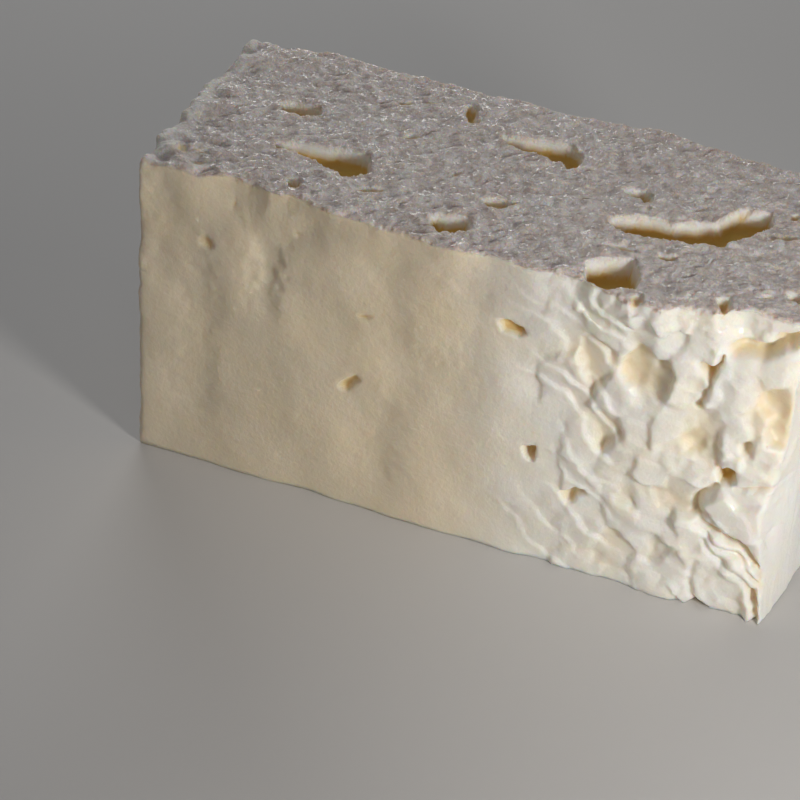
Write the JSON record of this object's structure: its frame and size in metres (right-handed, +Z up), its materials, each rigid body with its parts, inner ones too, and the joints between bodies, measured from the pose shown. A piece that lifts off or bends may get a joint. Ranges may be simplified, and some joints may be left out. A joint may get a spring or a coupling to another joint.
{
  "type": "feta block",
  "caption": "Block of feta cheese with a cut top and ends, a front cut at the left and torn at the right, and small curd openings; it stands flat on its base.",
  "frame": {"origin": "bottom centre of the block, on the surface that it stands on", "axes": "+X along the block's length towards the torn end, +Y from the torn front to the back, +Z up"},
  "size_m": [0.1242, 0.0536, 0.0637],
  "materials": {
    "feta_curd": "matte"
  },
  "bodies": {
    "root": {"feta_block": "feta_curd"}
  },
  "joints": []
}
